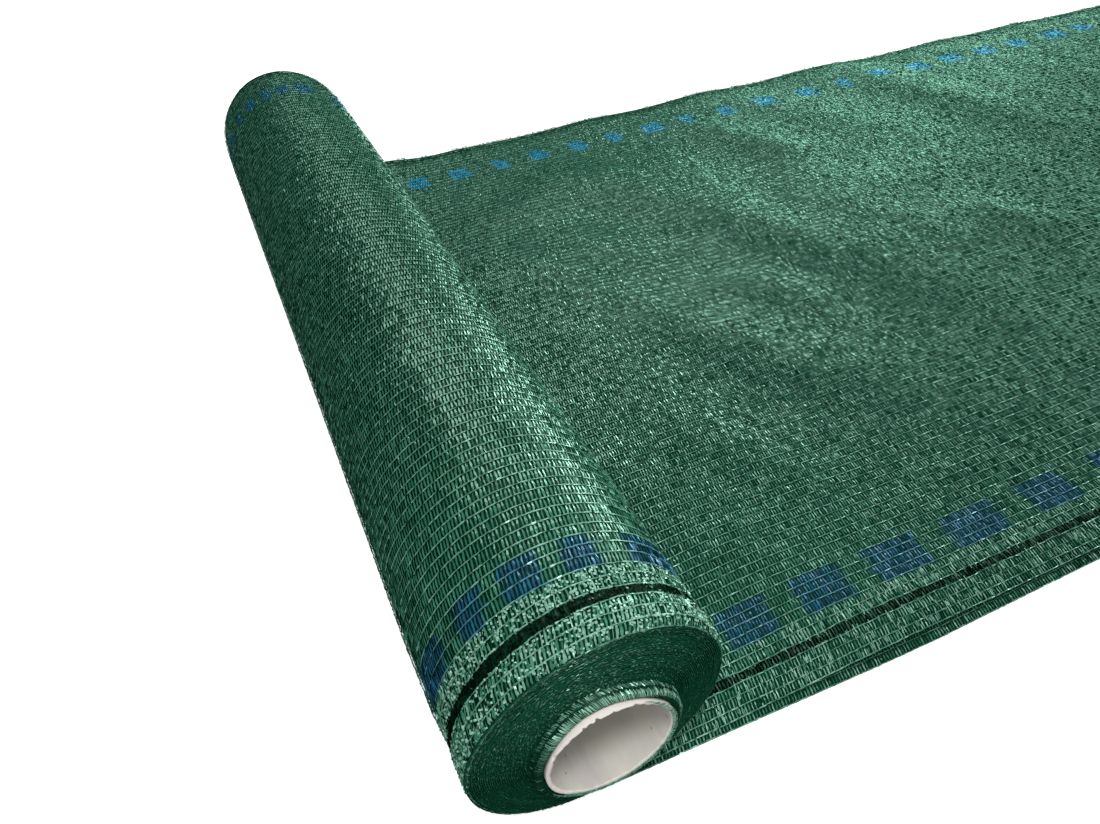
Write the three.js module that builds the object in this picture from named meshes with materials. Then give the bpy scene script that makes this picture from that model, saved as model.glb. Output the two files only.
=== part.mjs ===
// A knitted shade net, wound on a cardboard tube, with its loose end laid out on the ground beside the roll.
//
// The net is doubled: it is knitted twice as wide as the roll is long and folded in half along its length.
// The fold lies at the far edge, and both selvages lie at the near edge, the lower one a little further out.
//
// Millimetres. X runs along the unrolled net, Y along the roll from its near end to its far end, Z is up.
// The origin is on the ground under the middle of the roll, in the centre of the flat spot that it rests on.

import {
  BufferAttribute, BufferGeometry, Group, LatheGeometry, Mesh, MeshStandardMaterial, Vector2,
} from 'three'

// Driving dimensions
const foldedWidth = 1000
const rollRadius = 87
const restFlat = 0.8
const bumpHeight = 0.5
const pieceGap = 0.3
const layerThickness = 1
const layerGap = 0.8
const looseLength = 1660
const selvageOffset = 8
const tube = { outerRadius: 41, wall: 3, nearEnd: -520, farEnd: 508, rimBevel: 0.6 }

// Fineness of the faceted surfaces
const tubeSides = 48
const rollSides = 60
const looseStations = 45
const upperColumns = 25
const foldSteps = 3
// The columns of the upper layer that the lower layer has a column under. The last is its selvage.
const lowerColumns = [24, 23, 22, 21, 18, 12, 6, 0]

// Worked out from the driving dimensions
const halfWidth = foldedWidth / 2
const axisHeight = rollRadius - restFlat
const boreRadius = tube.outerRadius + pieceGap
const lowerLevel = layerThickness / 2
const foldRadius = (layerThickness + layerGap) / 2
const looseTop = 2 * layerThickness + layerGap

// The outline of one side of the wound roll, from the bore's near mouth out over the near face, along the
// outside and back over the far face. y and r place a ring. lean is how far the turns there have slid along
// the tube on their most slid side. bumps is how much of the roll's unevenness reaches the ring, and
// waist is how far the ring is drawn in on the side away from the loose end.
const rollOutline = [
  { y: -519, r: boreRadius, lean: 0, bumps: 0, waist: 0 },
  { y: -519, r: 44, lean: 0.5, bumps: 0, waist: 0 },
  { y: -517, r: 46.2, lean: 1, bumps: 0, waist: 0 },
  { y: -510, r: 47.4, lean: 1, bumps: 0, waist: 0 },
  { y: -507.5, r: 55, lean: 1.5, bumps: 0, waist: 0 },
  { y: -508.5, r: 57, lean: 1.5, bumps: 0, waist: 0 },
  { y: -505.5, r: 66, lean: 2, bumps: 0, waist: 0.5 },
  { y: -506.5, r: 68, lean: 2, bumps: 0, waist: 0.5 },
  { y: -503.5, r: 77, lean: 2.5, bumps: 0.2, waist: 1 },
  { y: -504, r: 82.5, lean: 3, bumps: 0.4, waist: 1.5 },
  { y: -500.5, r: 85, lean: 3, bumps: 0.6, waist: 2 },
  { y: -488, r: 86, lean: 2, bumps: 0.8, waist: 2.6 },
  { y: -473, r: 85.2, lean: 1, bumps: 1, waist: 2.6 },
  { y: -452, r: 86.6, lean: 0, bumps: 1, waist: 1 },
  { y: -400, r: rollRadius, lean: 0, bumps: 1, waist: 0 },
  { y: -200, r: rollRadius, lean: 0, bumps: 1, waist: 0 },
  { y: 0, r: rollRadius, lean: 0, bumps: 1, waist: 0 },
  { y: 200, r: rollRadius, lean: 0, bumps: 1, waist: 0 },
  { y: 400, r: rollRadius, lean: 0, bumps: 1, waist: 0 },
  { y: 485, r: 86.6, lean: 0, bumps: 0.6, waist: 0 },
  { y: 497, r: 85, lean: 0.5, bumps: 0.4, waist: 0 },
  { y: 501, r: 80, lean: 1, bumps: 0.2, waist: 0 },
  { y: 503, r: 62, lean: 1, bumps: 0, waist: 0 },
  { y: 505, r: boreRadius, lean: 0, bumps: 0, waist: 0 },
]
const leanDirection = Math.PI * 0.8

// The hand-sized ripples in the upper layer of the loose end. x and y place the middle of a crest, heading is
// the crest's direction in degrees from +X, length and width are half sizes, and height is above the layer.
// bend is how far the crest's ends swing sideways.
const ripples = [
  { x: 497, y: 103, heading: -65, length: 230, width: 47, height: 9.5, bend: -7 },
  { x: 1040, y: 282, heading: -78, length: 230, width: 51, height: 9.5, bend: -25 },
  { x: 137, y: -242, heading: -76, length: 229, width: 55, height: 9.5, bend: 25 },
  { x: 654, y: 308, heading: -68, length: 124, width: 42, height: 9.5, bend: -25 },
  { x: 204, y: -97, heading: -80, length: 230, width: 60, height: 9.5, bend: -1 },
  { x: 307, y: -78, heading: -61, length: 212, width: 49, height: 9, bend: 25 },
  { x: 1125, y: 146, heading: -100, length: 210, width: 60, height: 9, bend: 9 },
  { x: 621, y: -74, heading: -86, length: 198, width: 57, height: 8.5, bend: 25 },
  { x: 327, y: 281, heading: 14, length: 126, width: 60, height: 7.5, bend: -25 },
  { x: 693, y: -47, heading: -72, length: 130, width: 44, height: 6.5, bend: -18 },
  { x: 794, y: -108, heading: -65, length: 223, width: 48, height: 6.5, bend: -25 },
  { x: 826, y: -92, heading: -58, length: 96, width: 38, height: 6.5, bend: 25 },
  { x: 517, y: 217, heading: -83, length: 115, width: 35, height: 6, bend: -2 },
  { x: 750, y: 90, heading: -11, length: 100, width: 60, height: 6, bend: 11 },
  { x: 219, y: 117, heading: -35, length: 75, width: 44, height: 5, bend: 25 },
  { x: 309, y: 124, heading: -65, length: 128, width: 38, height: 5, bend: -3 },
  { x: 809, y: 339, heading: -60, length: 191, width: 47, height: 4, bend: -25 },
  { x: 452, y: -74, heading: -58, length: 72, width: 33, height: 4, bend: -25 },
  { x: 690, y: 243, heading: 13, length: 45, width: 35, height: 4, bend: -25 },
  { x: 255, y: -278, heading: -61, length: 128, width: 32, height: 2.5, bend: -25 },
  { x: 1340, y: 160, heading: -64, length: 170, width: 40, height: 6, bend: 10 },
  { x: 1420, y: -230, heading: -66, length: 150, width: 40, height: 6, bend: 0 },
  { x: 1530, y: 300, heading: -60, length: 120, width: 36, height: 5, bend: 0 },
  { x: 1010, y: -250, heading: -58, length: 130, width: 40, height: 5, bend: -8 },
]
// The far edge lifts where it comes off the roll, and goes up and down a little further along.
const cornerLift = { x: 120, y: halfWidth, length: 55, width: 60, height: 9 }
const edgeWaves = [
  { x: 250, height: 2, length: 45 },
  { x: 480, height: 3, length: 60 },
  { x: 690, height: 4, length: 80 },
  { x: 900, height: 4, length: 70 },
  { x: 1210, height: 3, length: 70 },
  { x: 1400, height: 3, length: 60 },
]
const edgeWaveReach = 70
// How far in from the fold the lower layer rises with the upper one.
const lowerLiftReach = 48
const settleNear = { from: 10, to: 75 }

const radians = (degrees) => degrees * Math.PI / 180
const bell = (distance, size) => Math.exp(-((distance / size) ** 2))

function smoothStep(from, to, value) {
  const t = Math.min(1, Math.max(0, (value - from) / (to - from)))
  return t * t * (3 - 2 * t)
}

// Where the loose end comes out from under the roll: its full thickness fits below the roll's flank there.
const flankDepth = axisHeight - looseTop - pieceGap
const looseStart = Math.sqrt((rollRadius + bumpHeight) ** 2 - flankDepth ** 2)

function rippleHeight(x, y) {
  let height = 0
  for (const ripple of ripples) {
    const heading = radians(ripple.heading)
    const dx = x - ripple.x
    const dy = y - ripple.y
    const along = dx * Math.cos(heading) + dy * Math.sin(heading)
    const bendHere = ripple.bend * (along / ripple.length) ** 2
    const across = -dx * Math.sin(heading) + dy * Math.cos(heading) - bendHere
    height += ripple.height * bell(along, ripple.length) * bell(across, ripple.width)
  }
  height += cornerLift.height * bell(x - cornerLift.x, cornerLift.length) * bell(y - cornerLift.y, cornerLift.width)
  for (const wave of edgeWaves) {
    height += wave.height * bell(x - wave.x, wave.length) * bell(y - halfWidth, edgeWaveReach)
  }
  return height * smoothStep(settleNear.from, settleNear.to, x - looseStart)
}

// A closed surface from rings of points. Rings are joined in order, and also the last to the first if
// joinEnds is true. Otherwise each end is closed by facets between point k and its partner across the ring.
// The ring's second half is split along the diagonal that its first half's partners have, so that the two
// sides of a thin sheet never cross.
function surfaceOfRings(rings, joinEnds) {
  const ringSize = rings[0].length
  const positions = rings.flat(2)
  const triangles = []
  const at = (ring, k) => (ring % rings.length) * ringSize + (k % ringSize)
  const addFacet = (a, b, c, d) => triangles.push(a, b, c, a, c, d)
  const spans = joinEnds ? rings.length : rings.length - 1
  for (let ring = 0; ring < spans; ring++) {
    for (let k = 0; k < ringSize; k++) {
      const corners = [at(ring, k), at(ring + 1, k), at(ring + 1, k + 1), at(ring, k + 1)]
      if (k >= ringSize / 2) corners.push(corners.shift())
      addFacet(...corners)
    }
  }
  if (!joinEnds) {
    const last = rings.length - 1
    for (let k = 0; k < ringSize / 2 - 1; k++) {
      const partner = ringSize - 1 - k
      addFacet(at(0, k), at(0, k + 1), at(0, partner - 1), at(0, partner))
      addFacet(at(last, k), at(last, partner), at(last, partner - 1), at(last, k + 1))
    }
  }
  const geometry = new BufferGeometry()
  geometry.setAttribute('position', new BufferAttribute(new Float32Array(positions), 3))
  geometry.setIndex(triangles)
  geometry.computeVertexNormals()
  return geometry
}

// The cardboard tube in the middle of the roll, open at both ends, turned about the roll's axis.
function cardboardTube() {
  const { outerRadius, wall, nearEnd, farEnd, rimBevel } = tube
  const innerRadius = outerRadius - wall
  const outline = [
    new Vector2(innerRadius, farEnd),
    new Vector2(innerRadius, nearEnd),
    new Vector2(outerRadius - rimBevel, nearEnd),
    new Vector2(outerRadius, nearEnd + rimBevel),
    new Vector2(outerRadius, farEnd - rimBevel),
    new Vector2(outerRadius - rimBevel, farEnd),
    new Vector2(innerRadius, farEnd),
  ]
  const mesh = new Mesh(
    new LatheGeometry(outline, tubeSides),
    new MeshStandardMaterial({ color: 0xcfc9bf, roughness: 0.85, metalness: 0 }),
  )
  mesh.name = 'cardboard_tube'
  mesh.position.z = axisHeight
  return mesh
}

// How far the wound net stands out or in at a place on the roll, as soft broad bumps.
function rollBump(angle, y) {
  const broad = Math.sin(2 * angle + y / 260)
  const narrow = Math.sin(3 * angle - y / 150 + 1)
  return bumpHeight * (0.6 * broad + 0.4 * narrow)
}

// All the turns of net round the tube, as one body with its far and near faces and a flat spot below.
function woundRoll() {
  const rings = []
  for (let side = 0; side < rollSides; side++) {
    const angle = -2 * Math.PI * side / rollSides
    const awayFromLooseEnd = Math.max(0, -Math.cos(angle))
    rings.push(rollOutline.map((ring) => {
      const radius = ring.r + ring.bumps * rollBump(angle, ring.y) - ring.waist * awayFromLooseEnd
      const slide = ring.lean * Math.cos(angle - leanDirection)
      const height = axisHeight + radius * Math.sin(angle)
      return [radius * Math.cos(angle), ring.y - slide, Math.max(0, height)]
    }))
  }
  const mesh = new Mesh(
    surfaceOfRings(rings, true),
    new MeshStandardMaterial({ color: 0x1f5a41, roughness: 0.5, metalness: 0 }),
  )
  mesh.name = 'wound_roll'
  return mesh
}

// The middle line of the doubled net at one station along it, from the upper selvage over the fold at the
// far edge and back to the lower selvage, as [y, z] points.
function middleLine(x) {
  const upperLevel = lowerLevel + 2 * foldRadius
  const foldStart = halfWidth - foldRadius
  const columnAt = (column) => -halfWidth + (foldStart + halfWidth) * column / (upperColumns - 1)
  const line = []
  for (let column = 0; column < upperColumns; column++) {
    const y = columnAt(column)
    line.push([y, upperLevel + rippleHeight(x, y)])
  }
  const liftAtFold = rippleHeight(x, foldStart)
  for (let step = 1; step < foldSteps; step++) {
    const turn = Math.PI / 2 - Math.PI * step / foldSteps
    const y = foldStart + foldRadius * Math.cos(turn)
    line.push([y, lowerLevel + foldRadius + liftAtFold + foldRadius * Math.sin(turn)])
  }
  for (const column of lowerColumns) {
    const y = column ? columnAt(column) : -halfWidth - selvageOffset
    line.push([y, lowerLevel + rippleHeight(x, y) * bell(y - foldStart, lowerLiftReach)])
  }
  return line
}

// The loose end of the net, laid out along +X and cut straight across.
function looseEnd() {
  const rings = []
  for (let station = 0; station < looseStations; station++) {
    const x = looseStart + (looseLength - looseStart) * station / (looseStations - 1)
    const line = middleLine(x)
    const outer = []
    const inner = []
    line.forEach(([y, z], k) => {
      const [beforeY, beforeZ] = line[Math.max(0, k - 1)]
      const [afterY, afterZ] = line[Math.min(line.length - 1, k + 1)]
      const run = Math.hypot(afterY - beforeY, afterZ - beforeZ)
      const outwardY = -(afterZ - beforeZ) / run * layerThickness / 2
      const outwardZ = (afterY - beforeY) / run * layerThickness / 2
      outer.push([x, y + outwardY, z + outwardZ])
      inner.push([x, y - outwardY, z - outwardZ])
    })
    rings.push([...outer, ...inner.reverse()])
  }
  const mesh = new Mesh(
    surfaceOfRings(rings, false),
    new MeshStandardMaterial({ color: 0x2c6a4e, roughness: 0.5, metalness: 0 }),
  )
  mesh.name = 'loose_end'
  return mesh
}

const shadeNet = new Group()
shadeNet.add(cardboardTube(), woundRoll(), looseEnd())

export default shadeNet
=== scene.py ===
# %% [markdown]
# # A knitted shade net, part unrolled
#
# The object is one long green net, knitted from flat plastic tape. It is folded in half along its length,
# wound on a cardboard tube, and its loose end lies flat beside the roll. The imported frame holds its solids.
# This lesson builds the looks round them: the tube, the wound body, the loose sheet, and on top of the last
# two the knitting itself, tape by tape and stitch by stitch.

# %% Load the frame
import math

import bpy
import numpy as np
from mathutils import Matrix, Vector


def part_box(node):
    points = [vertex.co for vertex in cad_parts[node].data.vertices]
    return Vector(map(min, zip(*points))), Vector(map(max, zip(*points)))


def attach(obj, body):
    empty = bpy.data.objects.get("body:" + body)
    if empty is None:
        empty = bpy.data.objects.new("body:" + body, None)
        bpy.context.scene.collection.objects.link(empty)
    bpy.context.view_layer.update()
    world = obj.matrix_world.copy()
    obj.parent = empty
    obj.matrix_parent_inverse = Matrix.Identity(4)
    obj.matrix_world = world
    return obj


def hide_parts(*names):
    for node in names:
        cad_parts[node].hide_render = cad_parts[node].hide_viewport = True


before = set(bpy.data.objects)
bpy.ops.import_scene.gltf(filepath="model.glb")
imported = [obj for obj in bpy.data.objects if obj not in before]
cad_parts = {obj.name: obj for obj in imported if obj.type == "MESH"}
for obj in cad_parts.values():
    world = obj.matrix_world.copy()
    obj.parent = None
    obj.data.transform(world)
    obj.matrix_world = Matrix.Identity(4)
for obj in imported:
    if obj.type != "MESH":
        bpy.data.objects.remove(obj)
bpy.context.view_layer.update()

# %% [markdown]
# ## Sizes
#
# A maker of such a net thinks in three sizes: the tube it is wound on, the width it is folded to, and the
# gauge of the knitting. The tube, the fold and the length of the loose end are read from the frame, so that
# they can't drift from it. The gauge was measured in the photo: a chain of stitches every 8.5 mm across, and
# a tape every 2.6 mm along.

# %% Sizes
MM = 0.001
tube_low, tube_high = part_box("cardboard_tube")
loose_low, loose_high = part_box("loose_end")

axis_height = (tube_low.z + tube_high.z) / 2
tube_radius = (tube_high.z - tube_low.z) / 2
roll_radius = 87 * MM
near_edge = -500 * MM
fold_edge = loose_high.y
loose_length = loose_high.x
upper_level = 2.3 * MM
lower_level = 0.5 * MM
course_pitch = 2.62 * MM
cell_width = 8.537 * MM
print("axis height", round(axis_height, 4), "tube radius", round(tube_radius, 4))
print("loose end from", near_edge, "to", round(fold_edge, 4), "across and", round(loose_length, 4), "long")

# %% [markdown]
# ## The camera
#
# The camera stands in front of the roll's near end, to the left, and looks down at about 41 degrees. Its
# place and angles were worked out from the roll's two ends and the edges of the loose net. Building its
# matrix from yaw, pitch and roll keeps those three angles readable.

# %% The camera
photo_width = 1100
photo_focal_pixels = 818.48
sensor_width = 36
camera_place = Vector((-0.10235, -0.71913, 0.53385))
camera_yaw = math.radians(21.4256)
camera_pitch = math.radians(40.9048)
camera_roll = math.radians(-3.8823)


def camera_matrix(place, yaw, pitch, roll):
    """A camera at a place, turned to the right by yaw, down by pitch and on its side by roll."""
    forward = Vector((math.sin(yaw) * math.cos(pitch), math.cos(yaw) * math.cos(pitch), -math.sin(pitch)))
    level_right = Vector((math.cos(yaw), -math.sin(yaw), 0))
    level_up = level_right.cross(forward)
    right = math.cos(roll) * level_right + math.sin(roll) * level_up
    up = right.cross(forward)
    turned = Matrix((right, up, -forward)).transposed().to_4x4()
    return Matrix.Translation(place) @ turned


camera_data = bpy.data.cameras.new("camera")
camera_data.sensor_width = sensor_width
camera_data.lens = sensor_width * photo_focal_pixels / photo_width
camera = bpy.data.objects.new("camera", camera_data)
bpy.context.collection.objects.link(camera)
camera.matrix_world = camera_matrix(camera_place, camera_yaw, camera_pitch, camera_roll)
bpy.context.scene.camera = camera
print("lens", round(camera_data.lens, 2), "mm")

# %% [markdown]
# ## Cloth coordinates
#
# A tape is easiest to describe on the flat net: so far along its length, s, and so far across it from the
# near selvage, w. Each part of the net then needs one function that carries such a place to where it lies,
# with a lift that says how far above the cloth's middle it is. The same knitting can so be laid on the
# roll and on the loose end, and it follows every ripple.
#
# ## The ripples of the loose end
#
# The loose end has soft ripples. Each is a ridge with the section of a bell, and a row of the table gives
# its place, heading, length, width, height and bend. A cloth simulation would make ripples too, but not these
# ones, and they have to match the solid in the frame. The first twenty rows weren't chosen by hand: a program
# fitted them to the broad light and dark of the net in the photo, and their heights are a guess. The last
# four are made up. Low waves along the fold and a lifted corner beside the roll are added to them.

# %% The ripples of the loose end
ripple_names = ("x", "y", "heading", "length", "width", "height", "bend")
ripple_rows = [
    (497, 103, -65, 230, 47, 9.5, -7),
    (1040, 282, -78, 230, 51, 9.5, -25),
    (137, -242, -76, 229, 55, 9.5, 25),
    (654, 308, -68, 124, 42, 9.5, -25),
    (204, -97, -80, 230, 60, 9.5, -1),
    (307, -78, -61, 212, 49, 9, 25),
    (1125, 146, -100, 210, 60, 9, 9),
    (621, -74, -86, 198, 57, 8.5, 25),
    (327, 281, 14, 126, 60, 7.5, -25),
    (693, -47, -72, 130, 44, 6.5, -18),
    (794, -108, -65, 223, 48, 6.5, -25),
    (826, -92, -58, 96, 38, 6.5, 25),
    (517, 217, -83, 115, 35, 6, -2),
    (750, 90, -11, 100, 60, 6, 11),
    (219, 117, -35, 75, 44, 5, 25),
    (309, 124, -65, 128, 38, 5, -3),
    (809, 339, -60, 191, 47, 4, -25),
    (452, -74, -58, 72, 33, 4, -25),
    (690, 243, 13, 45, 35, 4, -25),
    (255, -278, -61, 128, 32, 2.5, -25),
    (1340, 160, -64, 170, 40, 6, 10),
    (1420, -230, -66, 150, 40, 6, 0),
    (1530, 300, -60, 120, 36, 5, 0),
    (1010, -250, -58, 130, 40, 5, -8),
]
ripples = [dict(zip(ripple_names, row)) for row in ripple_rows]
edge_wave_names = ("x", "height", "length")
edge_wave_rows = [(250, 2, 45), (480, 3, 60), (690, 4, 80), (900, 4, 70), (1210, 3, 70), (1400, 3, 60)]
edge_waves = [dict(zip(edge_wave_names, row)) for row in edge_wave_rows]
edge_wave_reach = 70
corner_lift = {"x": 120, "y": 500, "length": 55, "width": 60, "height": 9}
loose_start = loose_low.x
flat_until = 10
rippled_from = 75


def bell(distance, size):
    """A soft hump, 1 in its middle."""
    return np.exp(-((distance / size) ** 2))


def smooth_step(low, high, value):
    """0 below low, 1 above high, and a soft rise between them."""
    t = np.clip((value - low) / (high - low), 0, 1)
    return t * t * (3 - 2 * t)


def ripple_height(x, y):
    """How far the upper layer of the loose end stands above its level, in metres, as the CAD has it."""
    x = np.asarray(x) / MM
    y = np.asarray(y) / MM
    height = np.zeros(np.broadcast(x, y).shape)
    for ripple in ripples:
        heading = math.radians(ripple["heading"])
        dx = x - ripple["x"]
        dy = y - ripple["y"]
        along = dx * math.cos(heading) + dy * math.sin(heading)
        swing = ripple["bend"] * (along / ripple["length"]) ** 2
        across = dy * math.cos(heading) - dx * math.sin(heading) - swing
        height += ripple["height"] * bell(along, ripple["length"]) * bell(across, ripple["width"])
    corner = bell(x - corner_lift["x"], corner_lift["length"])
    height += corner_lift["height"] * (corner * bell(y - corner_lift["y"], corner_lift["width"]))
    for wave in edge_waves:
        near_fold = bell(y - fold_edge / MM, edge_wave_reach)
        height += wave["height"] * bell(x - wave["x"], wave["length"]) * near_fold
    return height * smooth_step(flat_until, rippled_from, x - loose_start / MM) * MM


sample_x = np.linspace(0, loose_length, 200)
sample_y = np.linspace(near_edge, fold_edge, 120)
sample = ripple_height(*np.meshgrid(sample_x, sample_y))
print("highest ripple", round(float(sample.max()) / MM, 1), "mm")

# %% [markdown]
# ## Where the loose end lies
#
# The net lies in two layers. The upper one has the ripples, and presses flat where it goes under the roll.
# The lower one lies on the ground, rises only near the fold, and stands out past the upper selvage by a width
# that wanders: lower_wander says by how many millimetres, at some places along it in metres. Both use one
# function, which takes the slope of the sheet from two nearby heights and lifts a thread along the normal.
# Blender's shrinkwrap could put threads on a mesh, but not at a chosen place of it.

# %% Where the loose end lies
slope_step = 1 * MM
squeeze_gap = 0.5 * MM
least_level = 0.2 * MM
lower_lift_reach = 48


def roll_underside(x):
    """The height of the roll's underside over the ground, at a distance x from its middle."""
    inside = np.clip(roll_radius**2 - np.asarray(x) ** 2, 0, None)
    under = axis_height - np.sqrt(inside)
    return np.where(np.asarray(x) < roll_radius, np.clip(under, 0, None), roll_radius)


def lie_on(height_of, s, w, lift, first_y, level):
    """Places on a laid sheet whose height is a function of x and y, lifted along its normal."""
    x, y = np.broadcast_arrays(s, first_y + w)
    height = height_of(x, y)
    slope_x = (height_of(x + slope_step, y) - height) / slope_step
    slope_y = (height_of(x, y + slope_step) - height) / slope_step
    steep = np.sqrt(1 + slope_x**2 + slope_y**2)
    level = np.minimum(level, np.clip(roll_underside(x) - squeeze_gap, least_level, None))
    place_x = x - lift * slope_x / steep
    place_y = y - lift * slope_y / steep
    return np.stack([place_x, place_y, level + height + lift / steep], axis=-1)


def upper_layer(s, w, lift):
    """The upper layer of the loose end. w starts at its selvage."""
    return lie_on(ripple_height, s, w, lift, near_edge, upper_level)


def lower_height(x, y):
    """The lower layer only rises with the upper one near the fold that joins them."""
    return ripple_height(x, y) * bell((y - fold_edge) / MM, lower_lift_reach)


lower_wander = {
    "x": [0, 0.03, 0.1, 0.2, 0.27, 0.4, 0.6, 0.9, 1.2, 1.7],
    "out": [2, 3, 4.7, 7.8, 9.2, 8.1, 7, 8.5, 6.5, 8],
}


def lower_layer(s, w, lift):
    """The lower layer of the loose end. w starts at its own selvage, which lies further out."""
    out = np.interp(s, lower_wander["x"], lower_wander["out"]) * MM
    return lie_on(lower_height, s, w, lift, near_edge - out, lower_level)


print("the lower selvage stands out by", min(lower_wander["out"]), "to", max(lower_wander["out"]), "mm")

# %% [markdown]
# ## The outer turn of the roll
#
# The outer turn is nearly a cylinder, but not quite. The net's edge has slid along the tube on one side, the
# roll is drawn in beside the dark band, and all of it is a little lumpy. The outline says, for some places
# along the roll in millimetres, what its radius is and how much it has of each of these. Numpy's interp runs
# between them.

# %% Where the outer turn of the roll lies
outline_names = ("y", "r", "lean", "bumps", "waist")
outline_rows = [
    (-504, 82.5, 3, 0.4, 1.5),
    (-500.5, 85, 3, 0.6, 2),
    (-488, 86, 2, 0.8, 2.6),
    (-473, 85.2, 1, 1, 2.6),
    (-452, 86.6, 0, 1, 1),
    (-400, 87, 0, 1, 0),
    (400, 87, 0, 1, 0),
    (485, 86.6, 0, 0.6, 0),
    (497, 85, 0.5, 0.4, 0),
    (501, 80, 1, 0.2, 0),
]
outline = {name: np.array([row[k] for row in outline_rows], float) for k, name in enumerate(outline_names)}
outline_step = np.hypot(np.diff(outline["y"]), np.diff(outline["r"]))
outline_w = np.concatenate([[0], np.cumsum(outline_step)]) * MM
lean_direction = 0.8 * math.pi
bump_height = 0.5
least_height = 0.1 * MM


def roll_bump(angle, y):
    """Soft broad bumps on the roll, in millimetres, as the CAD has them."""
    broad = np.sin(2 * angle + y / 260)
    narrow = np.sin(3 * angle - y / 150 + 1)
    return bump_height * (0.6 * broad + 0.4 * narrow)


def on_roll(angle, y, r, lean, bumps, waist):
    """A place on the roll from its angle round the axis, with how it leans, bulges and is drawn in there."""
    away = np.clip(-np.cos(angle), 0, None)
    radius = r + bumps * roll_bump(angle, y) - waist * away
    x = radius * np.cos(angle) * MM
    y = (y - lean * np.cos(angle - lean_direction)) * MM
    z = np.clip(axis_height + radius * np.sin(angle) * MM, least_height, None)
    return np.stack([x, y, z], axis=-1)


def outer_turn(s, w, lift):
    """The outer turn of the roll. s starts at the ground and climbs up the side away from the loose end."""
    s, w, lift = np.broadcast_arrays(s, w, lift)
    angle = -math.pi / 2 - s / roll_radius
    values = {name: np.interp(w, outline_w, outline[name]) for name in outline_names}
    values["r"] = values["r"] + lift / MM
    return on_roll(angle, **values)


turn_length = 2 * math.pi * roll_radius
print("one turn of the roll takes", round(turn_length / MM), "mm of net")

# %% [markdown]
# ## Materials from Python expressions
#
# A finish is a small program: noise, masks and mixes that feed a few sockets of one shader. Written as node
# after node it is long and hard to read. Here a Wire stands for one socket, and Python's operators on it
# add the Math nodes. Every other node comes from one method, add, which sets the node up and wires it.


# %% The helper classes
class Wire:
    """The output of a node. Arithmetic on it adds Math nodes."""

    def __init__(self, finish, socket):
        self.finish = finish
        self.socket = socket

    def math(self, operation, first, second=0.5, clamp=False):
        settings = {"operation": operation, "use_clamp": clamp}
        return self.finish.add("ShaderNodeMath", settings, {0: first, 1: second})

    def __add__(self, other):
        return self.math("ADD", self, other)

    def __sub__(self, other):
        return self.math("SUBTRACT", self, other)

    def __mul__(self, other):
        return self.math("MULTIPLY", self, other)

    def __rsub__(self, other):
        return self.math("SUBTRACT", other, self)

    def __gt__(self, other):
        return self.math("GREATER_THAN", self, other)

    def __lt__(self, other):
        return self.math("LESS_THAN", self, other)

    __radd__ = __add__
    __rmul__ = __mul__

    def clamped(self):
        return self.math("ADD", self, 0.0, clamp=True)


class Finish:
    """A material under construction."""

    def __init__(self, name):
        self.material = bpy.data.materials.new(name)
        self.material.use_nodes = True
        self.tree = self.material.node_tree
        self.tree.nodes.clear()

    def add(self, kind, settings=None, sockets=None, output=0):
        """Adds a node: its settings first, then the values or links of its sockets."""
        node = self.tree.nodes.new(kind)
        for key, value in (settings or {}).items():
            setattr(node, key, value)
        for key, value in (sockets or {}).items():
            if isinstance(value, Wire):
                self.tree.links.new(value.socket, node.inputs[key])
            else:
                node.inputs[key].default_value = value
        return Wire(self, node.outputs[output]) if node.outputs else node

    def mix(self, factor, first, second):
        """Goes from the first colour to the second as factor goes from 0 to 1."""
        sockets = {0: factor, 6: first, 7: second}
        return self.add("ShaderNodeMix", {"data_type": "RGBA"}, sockets, output=2)

    def attribute(self, name):
        return self.add("ShaderNodeAttribute", {"attribute_name": name}, output="Vector")

    def split(self, vector):
        """The three numbers of a vector."""
        node = self.add("ShaderNodeSeparateXYZ", None, {0: vector}).socket.node
        return [Wire(self, node.outputs[axis]) for axis in "XYZ"]

    def noise(self, vector, scale, detail=2.0):
        return self.add("ShaderNodeTexNoise", None, {"Vector": vector, "Scale": scale, "Detail": detail})

    def shader(self, **sockets):
        """A Principled shader. Socket names have underscores for spaces."""
        named = {key.replace("_", " "): value for key, value in sockets.items()}
        return self.add("ShaderNodeBsdfPrincipled", None, named)

    def shine(self, share, matt, gloss):
        """Mixes a share of a glossy shader into a matt one."""
        return self.add("ShaderNodeMixShader", None, {0: share, 1: matt, 2: gloss})

    def done(self, shader):
        """Ends the material in a shader."""
        self.add("ShaderNodeOutputMaterial", None, {"Surface": shader})
        return self.material


def rgb(red, green, blue):
    """A colour for a socket, from linear values."""
    return (red, green, blue, 1.0)


# %% [markdown]
# ## The net's finish
#
# The tapes are slit from green film, so each is a little lighter or darker. Their gloss is not the white one
# of common plastic: it keeps much of the dye's colour. A small share of a metallic shader in mint gives it,
# mixed into a matt green. Fine streaks along each tape break the highlight into glints. Some cells are
# knitted from other tape: a black band near the selvage, and two rows of short blue marks. Each thread
# carries two vectors: its place on the flat net, called cloth, and its dye and painted light: how blue it
# is, how black, and a tone of its own. The black also paints shade, on the collar's left side and in the
# last cells before the fold. A tone over 1 makes a thread paler, or a blue one brighter. The pale tones
# near the selvage, on the collar and outside the fold are painted highlights. The ground under the
# knitting is painted a dark green, as the shade in its gaps.


# %% The materials of the net
gloss_edge = rgb(0.36, 0.62, 0.50)
streak_scale = (1500.0, 500.0, 1.0)
glossy_black_tone = 2.2
ground_band = (22.6 * MM, 29.4 * MM)


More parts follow.
